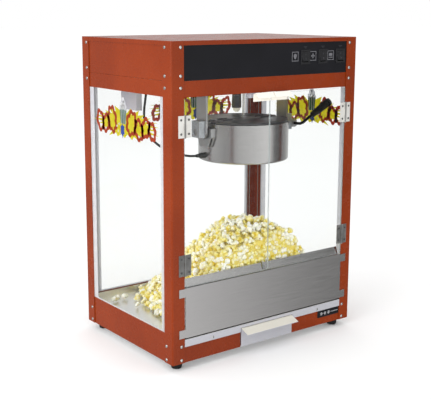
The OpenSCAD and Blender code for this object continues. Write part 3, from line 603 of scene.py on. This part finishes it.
def popcorn_piece(name, places, shapes, seed):
    """Joins kernels into one mesh. A place is a centre and a radius."""
    rng = random.Random(seed)
    points, faces, fold, tone, hull = [], [], [], [], []
    count = 0
    for centre, radius in places:
        shape = shapes[rng.randrange(len(shapes))]
        turn = Matrix.Rotation(rng.uniform(0, FULL_TURN), 3, random_direction(rng))
        squeeze = np.array([rng.uniform(0.82, 1.0) for _ in range(3)])
        points.append((shape[0] * squeeze) @ np.array(turn).T * radius + np.array(centre))
        faces.append(shape[1] + count)
        fold.append(shape[2])
        hull.append(shape[3] * (1.0 if rng.random() < 0.3 else 0.0))
        tone.append(np.full(len(shape[0]), rng.choice((0.1, 0.2, 0.35, 0.6, 0.8, 1.0, 1.0))))
        count += len(shape[0])
    mesh = mesh_of(name, np.concatenate(points).tolist(), np.concatenate(faces).tolist())
    mark_corn(mesh, fold=np.concatenate(fold), tone=np.concatenate(tone), hull=np.concatenate(hull))
    return new_piece(name, mesh, corn, "cabinet")


def surface_of(name):
    """A tree of a CAD node's faces, to drop things on."""
    mesh = nodes[name].data
    return BVHTree.FromPolygons([v.co for v in mesh.vertices], [p.vertices[:] for p in mesh.polygons])


def scatter(name, spacing, tries, rng):
    """Points all over a CAD node's sides and top, no two closer than the spacing, with the slope there."""
    mesh = nodes[name].data
    mesh.calc_loop_triangles()
    corners = [[mesh.vertices[i].co for i in t.vertices] for t in mesh.loop_triangles if t.normal.z > -0.5]
    slopes = [t.normal.copy() for t in mesh.loop_triangles if t.normal.z > -0.5]
    sums = np.cumsum([((b - a).cross(c - a)).length for a, b, c in corners])
    found = []
    cells = {}
    for _ in range(tries):
        k = int(np.searchsorted(sums, rng.uniform(0, sums[-1])))
        a, b, c = corners[k]
        u, v = rng.random(), rng.random()
        if u + v > 1:
            u, v = 1 - u, 1 - v
        place = a + (b - a) * u + (c - a) * v
        cell = tuple(int(w // spacing) for w in place)
        near = [cells.get((cell[0] + i, cell[1] + j, cell[2] + k))
                for i in (-1, 0, 1) for j in (-1, 0, 1) for k in (-1, 0, 1)]
        if any((p - place).length < spacing for group in near if group for p in group):
            continue
        cells.setdefault(cell, []).append(place)
        found.append((place, slopes[k]))
    return found


def mark_corn(mesh, **values):
    """Stores one popcorn value for each point: a number, or a list with one for each."""
    for key, value in values.items():
        layer = mesh.attributes.new(key, "FLOAT", "POINT")
        layer.data.foreach_set("value", np.broadcast_to(value, len(mesh.vertices)).astype(np.float32))


def popcorn():
    """The heap on the floor tray, a few kernels beside it, and the core that closes its gaps."""
    low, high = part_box("popcorn_heap")
    floor = low.z + 1 * MM
    glass_low, glass_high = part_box("side_glasses")
    rng = random.Random(11)
    shapes = [kernel_shape(100 + i) for i in range(KERNEL_SHAPES)]
    places = []
    for place, normal in scatter("popcorn_heap", KERNEL_SPACING, 120000, rng):
        radius = rng.uniform(*KERNEL_SIZE)
        centre = place - normal * rng.uniform(0.1, 0.8) * radius
        centre.z = max(centre.z, floor + 0.7 * radius)
        centre.x = min(max(centre.x, glass_low.x + 3 * MM + radius), glass_high.x - 3 * MM - radius)
        centre.y = max(centre.y, low.y + 0.6 * radius)
        places.append((centre, radius))
    places.sort(key=lambda item: item[0].x)
    share = FACES_PER_PIECE // KERNEL_FACES
    for k, start in enumerate(range(0, len(places), share)):
        piece = popcorn_piece(f"popcorn_{k + 1}", places[start:start + share], shapes, 5 + k)
        if k == 0:
            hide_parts("popcorn_heap")

    loose = [(Vector((x * MM, y * MM, floor + 9 * MM)), rng.uniform(*KERNEL_SIZE)) for x, y in STRAYS_MM]
    popcorn_piece("popcorn_strays", loose, shapes, 9)

    core = nodes["popcorn_heap"].data.copy()
    middle = Vector(((low.x + high.x) / 2, (low.y + high.y) / 2, low.z))
    for v in core.vertices:
        inward = (middle - v.co) * 0.035
        v.co += inward + Vector((0, 0, -6 * MM if v.co.z > floor else 0))
        v.co.z = max(v.co.z, low.z)
    core.materials.clear()
    # The core takes a fold value, so it carries the deeper yellow of painted crease shade.
    mark_corn(core, fold=0.55, tone=0.9, hull=0.0)
    new_piece("popcorn_core", core, corn, "cabinet")


popcorn()


# ---------------------------------------------------------------- printed films and marks

INK_YELLOW = vinyl("ink_yellow", shade((230, 224, 52)), shade((240, 232, 84)), 0.7)
INK_RED = vinyl("ink_red", shade((194, 80, 44)), shade((206, 98, 60)), 0.65)
INK_GREEN = vinyl("ink_green", shade((70, 122, 104)), shade((92, 142, 126)), 0.6)
INK_WHITE = vinyl("ink_white", shade((244, 244, 246)), shade((222, 222, 226)), 0.65)
INK_BLUE = vinyl("ink_blue", shade((62, 88, 190)), shade((72, 104, 206)))
PRINT_GREY = vinyl("print_grey", shade((144, 144, 150)), shade((160, 160, 166)))
PRINT_DIM = vinyl("print_dim", shade((92, 92, 98)), shade((104, 104, 110)))


class Sheet:
    """Collects flat outlines on a plane, each with its own two depths, into one mesh."""

    def __init__(self, origin, across, up, out):
        self.origin, self.across, self.up, self.out = (Vector(v) for v in (origin, across, up, out))
        self.points, self.faces = [], []

    def at(self, u, v, depth):
        return self.origin + (self.across * u + self.up * v + self.out * depth) * MM

    def fill(self, outline, near, far):
        """A plate with this outline, between two depths in mm."""
        n, base = len(outline), len(self.points)
        for depth in (near, far):
            self.points += [self.at(u, v, depth) for u, v in outline]
        self.faces.append(tuple(base + n + k for k in range(n)))
        self.faces.append(tuple(base + k for k in reversed(range(n))))
        for k in range(n):
            m = (k + 1) % n
            self.faces.append((base + k, base + m, base + n + m, base + n + k))

    def ring(self, outer, inner, near, far):
        """A closed band between two outlines of equal length."""
        n, base = len(outer), len(self.points)
        for depth in (near, far):
            for outline in (outer, inner):
                self.points += [self.at(u, v, depth) for u, v in outline]
        for k in range(n):
            m = (k + 1) % n
            for a, b in ((2, 3), (1, 0), (0, 2), (3, 1)):
                self.faces.append((base + a * n + k, base + a * n + m, base + b * n + m, base + b * n + k))

    def piece(self, name, look, body, slot=None):
        mesh = mesh_of(name, self.points, self.faces)
        bm = bmesh.new()
        bm.from_mesh(mesh)
        bmesh.ops.recalc_face_normals(bm, faces=bm.faces)
        bm.to_mesh(mesh)
        bm.free()
        return new_piece(name, mesh, look, body, smooth=False)


def puff(cu, cv, w, h, bumps, tilt, grow=0.0):
    """A cloud-shaped outline, w wide and h high, with deep round bumps."""
    outline = []
    for k in range(72):
        a = FULL_TURN * k / 72
        swell = 0.84 + 0.26 * abs(math.sin(bumps * a / 2 + cu))
        u = (w / 2 * swell + grow) * math.cos(a)
        v = (h / 2 * swell + grow) * math.sin(a)
        outline.append((cu + u * math.cos(tilt) - v * math.sin(tilt),
                        cv + u * math.sin(tilt) + v * math.cos(tilt)))
    return outline


def burst(cu, cv, w, h, spikes, seed):
    """A jagged star, w wide and h high, whose thin points have uneven lengths."""
    rng = random.Random(seed)
    outline = []
    for k in range(2 * spikes):
        a = FULL_TURN * (k + 0.25 * rng.random()) / (2 * spikes)
        reach = rng.uniform(0.92, 1.12) if k % 2 else rng.uniform(0.66, 0.78)
        outline.append((cu + w / 2 * reach * math.cos(a), cv + h / 2 * reach * math.sin(a)))
    return outline


def carton(cu, cv, wide, narrow, height):
    """The outline of a popcorn carton that narrows downwards."""
    return [(cu - narrow, cv - height / 2), (cu + narrow, cv - height / 2),
            (cu + wide, cv + height / 2), (cu - wide, cv + height / 2)]


STROKE = 5.0
PUFFS = [(-119, -8, 27, 46, 5, 0.25), (-92, -12, 27, 40, 6, -0.30), (-62, 0, 34, 58, 7, 0.20),
         (26, -2, 38, 54, 7, -0.25), (58, -14, 30, 46, 6, 0.30), (88, -7, 28, 42, 5, -0.25),
         (115, -12, 24, 38, 6, 0.25)]


def pane_art(name, origin, across, out):
    """Generic fairground art on a pane: a yellow burst, puffs of popcorn and a striped carton."""
    plane = (origin, across, (0, 0, 1), out)
    yellow, red, white, green, blue = (Sheet(*plane) for _ in range(5))
    yellow.fill(burst(0, -5, 276, 76, 25, 3), 0.15, 0.30)
    for cu, cv, w, h, bumps, tilt in PUFFS:
        red.ring(puff(cu, cv, w, h, bumps, tilt, STROKE), puff(cu, cv, w, h, bumps, tilt, -STROKE), 0.08, 0.40)
    box = -11
    green.fill(carton(box, 12, 15, 11, 36), 0.06, 0.44)
    for k in (-1, 0, 1):
        white.fill(carton(box + 8.5 * k, 12, 2.0, 1.4, 37), 0.04, 0.48)
    for k, (du, dv) in enumerate(((-10, 32), (0, 34), (10, 32), (-6, 42), (5, 43), (0, 51))):
        white.fill(puff(box + du, dv, 13, 12, 4 + k % 2, 0.5 * k), 0.05, 0.46)
    for du, dv in ((-40, -14), (-34, -26), (-30, -8), (-24, -32)):
        white.fill(puff(du, dv, 6, 6, 3, 0.3 * du), 0.05, 0.46)
    blue.fill(burst(box - 4, -22, 20, 34, 6, 9), 0.05, 0.46)
    for part, sheet, ink in (("burst", yellow, INK_YELLOW), ("puffs", red, INK_RED), ("carton", green, INK_GREEN),
                             ("corn", white, INK_WHITE), ("star", blue, INK_BLUE)):
        sheet.piece(f"{name}_{part}", ink, "cabinet")


ART_HEIGHT = 0.572


def all_pane_art():
    low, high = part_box("side_glasses")
    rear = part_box("rear_glass")[1].y
    pane_art("left_art", (low.x, 0.010, ART_HEIGHT), (0, -1, 0), (-1, 0, 0))
    pane_art("right_art", (high.x, -0.020, ART_HEIGHT), (0, 1, 0), (1, 0, 0))
    pane_art("rear_art", (0.052, rear, ART_HEIGHT), (-1, 0, 0), (0, 1, 0))


all_pane_art()


def arc(cu, cv, radius, start, end, steps):
    return [(cu + radius * math.cos(start + (end - start) * k / steps),
             cv + radius * math.sin(start + (end - start) * k / steps)) for k in range(steps + 1)]


def rectangle(cu, cv, w, h):
    return [(cu - w / 2, cv - h / 2), (cu + w / 2, cv - h / 2), (cu + w / 2, cv + h / 2), (cu - w / 2, cv + h / 2)]


def fascia_marks():
    """Pictograms beside the three switches, each in a light frame: a lamp, a stirrer and a pan."""
    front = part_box("control_fascia")[0].y
    spots = [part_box(n) for n in ("light_rocker", "motor_rocker", "heat_rocker")]
    centres = [((a.x + b.x) / 2, (a.z + b.z) / 2) for a, b in spots]
    tiles = Sheet((0, front, 0), (1, 0, 0), (0, 0, 1), (0, -1, 0))
    signs = Sheet((0, front, 0), (1, 0, 0), (0, 0, 1), (0, -1, 0))
    bars = Sheet((0, front, 0), (1, 0, 0), (0, 0, 1), (0, -1, 0))
    for number, (x, z) in enumerate(centres):
        cu, cv = x / MM - 33, z / MM + 1
        tiles.ring(rectangle(cu, cv, 21, 23), rectangle(cu, cv, 18, 20), 0.0, 0.2)
        if number == 0:
            bulb = arc(cu, cv + 1.5, 5, -0.9, math.pi + 0.9, 20)
            signs.fill(bulb + [(cu - 2, cv - 6), (cu + 2, cv - 6)], 0.0, 0.2)
        elif number == 1:
            for k in range(4):
                signs.fill(puff(cu + 4 * math.cos(k * 1.57), cv + 4 * math.sin(k * 1.57), 4, 4, 3, 0), 0.0, 0.2)
            hub, hole = (arc(cu, cv, radius, 0, FULL_TURN * 0.98, 16) for radius in (2.2, 1))
            signs.ring(hub, hole, 0.0, 0.2)
        else:
            signs.fill(rectangle(cu, cv + 2, 11, 7), 0.0, 0.2)
            signs.fill(rectangle(cu, cv - 5, 13, 2), 0.0, 0.2)
        for dv, w in ((17.5, 11), (14.5, 6)):
            bars.fill(rectangle(x / MM, z / MM + dv + 6.5, w, 0.7), 0.0, 0.12)
    tiles.piece("fascia_tiles", PRINT_GREY, "cabinet")
    signs.piece("fascia_signs", PRINT_GREY, "cabinet")
    bars.piece("fascia_bars", PRINT_DIM, "cabinet")


fascia_marks()


def rocker_marks():
    """The on bar and off ring on each rocker, on its two planes."""
    for use in ("light", "motor", "heat"):
        name, body = f"{use}_rocker", f"rocker_{use}"
        low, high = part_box(name)
        x, z = (low.x + high.x) / 2, (low.z + high.z) / 2
        tree = surface_of(name)
        for part, dz in (("on", 5.5), ("off", -5.5)):
            hit, normal, _face, _distance = tree.ray_cast(Vector((x, low.y - 0.1, z + dz * MM)), Vector((0, 1, 0)))
            up = Vector((0, 0, 1))
            up = (up - normal * up.dot(normal)).normalized()
            mark = Sheet(hit, (1, 0, 0), up, normal)
            if part == "on":
                mark.fill(rectangle(0, 0, 0.9, 4.2), -0.1, 0.15)
            else:
                ring = [arc(0, 0, r, 0, FULL_TURN * 23 / 24, 23) for r in (2.2, 1.4)]
                mark.ring(*ring, -0.1, 0.15)
            mark.piece(f"{name}_{part}", PRINT_DIM, body)


rocker_marks()


# In mm: the hinges' axis from the middle, their heights, and their screws from the axis and the height.
HINGE_AXIS, HINGE_HEIGHTS = 251, (257, 578)
SCREW_ACROSS, SCREW_RISES = 10.5, (-16, 16)
SCREW_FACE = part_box("hinge_post_leaves")[0].y / MM + 2.5


def hinge_screw_heads():
    """A dark ring on the head of each screw of the hinges."""
    dark = cast_metal("hinge_dark", (0.12, 0.12, 0.12), (0.3, 0.4))
    for name, side, body, reach in (("post_left", -1, "cabinet", -1), ("post_right", 1, "cabinet", -1),
                                    ("door_left", -1, "door_left", 1), ("door_right", 1, "door_right", 1)):
        heads = Sheet((0, SCREW_FACE * MM, 0), (1, 0, 0), (0, 0, 1), (0, -1, 0))
        x = side * (HINGE_AXIS - reach * SCREW_ACROSS)
        for z in (height + rise for height in HINGE_HEIGHTS for rise in SCREW_RISES):
            outer, inner = (arc(x, z, radius, 0, FULL_TURN * 23 / 24, 23) for radius in (2.6, 0.5))
            heads.ring(outer, inner, 0.0, 0.35)
        heads.piece(f"hinge_screws_{name}", dark, body)


hinge_screw_heads()


def apron_shadow_strip():
    """A black strip, in the rubber finish, with a rounded lip along the joint under the apron: a painted shadow
    for the gap there.
    """
    low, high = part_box("front_strip")
    top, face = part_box("front_apron")[0].z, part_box("front_rail")[0].y
    # This dark strip is painted shadow in the gap under the apron.
    shadow_strip = Sheet((0, face, 0), (1, 0, 0), (0, 0, 1), (0, -1, 0))
    middle, width = (low.x + high.x) / 2 / MM, (high.x - low.x) / MM
    for share, out in ((1.0, 0.6), (0.7, 0.9), (0.4, 1.1)):
        shadow_strip.fill(rectangle(middle, (high.z + top) / 2 / MM, width, share * (top - high.z) / MM), 0.0, out)
    shadow_strip.piece("apron_shadow_strip", black_rubber, "cabinet")


apron_shadow_strip()


def maker_plate():
    """A plain motif of three puffs and a line on the blank plate."""
    low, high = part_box("label_plate")
    plate = Sheet(((low.x + high.x) / 2, low.y, (low.z + high.z) / 2), (1, 0, 0), (0, 0, 1), (0, -1, 0))
    for k in range(3):
        plate.fill(puff(-24 + 13 * k, 0, 9, 8, 5, 0.6 * k), -0.05, 0.2)
    plate.fill(rectangle(22, 0, 26, 2.0), -0.05, 0.2)
    plate.piece("plate_motif", INK_WHITE, "cabinet")


maker_plate()


# ---------------------------------------------------------------- stage and light

def floor():
    size = 30.0
    corners = [(-size, -size, 0), (size, -size, 0), (size, size, 0), (-size, size, 0)]
    mesh = mesh_of("floor", corners, [(0, 1, 2, 3)])
    look = Look("pale_floor", {"Roughness": 0.9, "Specular IOR Level": 0.0})
    look.feed("Base Color", look.blend(look.noise(2.0), (0.9, 0.9, 0.9), (0.93, 0.93, 0.93)))
    mesh.materials.append(look.material)
    plane = bpy.data.objects.new("floor", mesh)
    bpy.context.scene.collection.objects.link(plane)
    plane.visible_glossy = False


def area_light(name, place, aim, size, power, colour=(1, 1, 1)):
    light = bpy.data.lights.new(name, "AREA")
    light.shape = "RECTANGLE"
    light.size, light.size_y = size
    light.energy = power
    light.color = colour
    holder = bpy.data.objects.new(name, light)
    bpy.context.scene.collection.objects.link(holder)
    holder.location = place
    holder.rotation_euler = (Vector(aim) - Vector(place)).to_track_quat("-Z", "Y").to_euler()
    holder.visible_camera = False


def world():
    """White studio. Reflections see soft bright and dark panels round the object instead."""
    sky = bpy.data.worlds.new("studio")
    bpy.context.scene.world = sky
    sky.use_nodes = True
    tree = sky.node_tree
    tree.nodes.clear()

    def add(kind, **settings):
        node = tree.nodes.new("ShaderNode" + kind)
        for key, value in settings.items():
            setattr(node, key, value)
        return node

    split = add("SeparateXYZ")
    tree.links.new(add("TexCoord").outputs["Generated"], split.inputs[0])
    forward = add("Math", operation="MULTIPLY")
    forward.inputs[1].default_value = -1.0
    tree.links.new(split.outputs["Y"], forward.inputs[0])
    turn = add("Math", operation="ARCTAN2")
    tree.links.new(split.outputs["X"], turn.inputs[0])
    tree.links.new(forward.outputs[0], turn.inputs[1])
    share = add("MapRange")
    for socket, value in (("From Min", -math.pi), ("From Max", math.pi), ("To Min", 0.0), ("To Max", 1.0)):
        share.inputs[socket].default_value = value
    tree.links.new(turn.outputs[0], share.inputs["Value"])
    panels = add("ValToRGB")
    ramp = panels.color_ramp
    ramp.interpolation = "EASE"
    stops = sorted(((degrees + 180) / 360, level) for degrees, level in PANELS)
    while len(ramp.elements) < len(stops):
        ramp.elements.new(0.5)
    for element, (place, level) in zip(ramp.elements, stops):
        element.position = place
        element.color = (level, level, level, 1)
    tree.links.new(share.outputs[0], panels.inputs[0])

    path = add("LightPath")
    pick = add("Mix", data_type="RGBA")
    tree.links.new(path.outputs["Is Glossy Ray"], pick.inputs[0])
    pick.inputs[6].default_value = (1, 1, 1, 1)
    tree.links.new(panels.outputs[0], pick.inputs[7])
    back = add("Background")
    tree.links.new(pick.outputs[2], back.inputs["Color"])
    out = add("OutputWorld")
    tree.links.new(back.outputs[0], out.inputs["Surface"])


# Degrees round the object from its front, positive to its right, and how bright it is there.
PANELS = [(-179, 0.5), (-150, 0.45), (-121, 0.55), (-80, 0.34), (-37, 0.72), (0, 0.9), (28, 1.1), (36, 0.85),
          (44, 0.14), (60, 0.12), (87, 0.38), (120, 0.8), (179, 0.6)]


def studio():
    floor()
    world()
    area_light("key", (-2.8, -0.5, 1.5), (0, 0, 0.4), (3.0, 2.2), 50)
    sun = bpy.data.lights.new("overhead", "SUN")
    sun.energy = 0.42
    sun.angle = math.radians(140)
    holder = bpy.data.objects.new("overhead", sun)
    bpy.context.scene.collection.objects.link(holder)
    bpy.context.scene.view_settings.view_transform = "Standard"


studio()
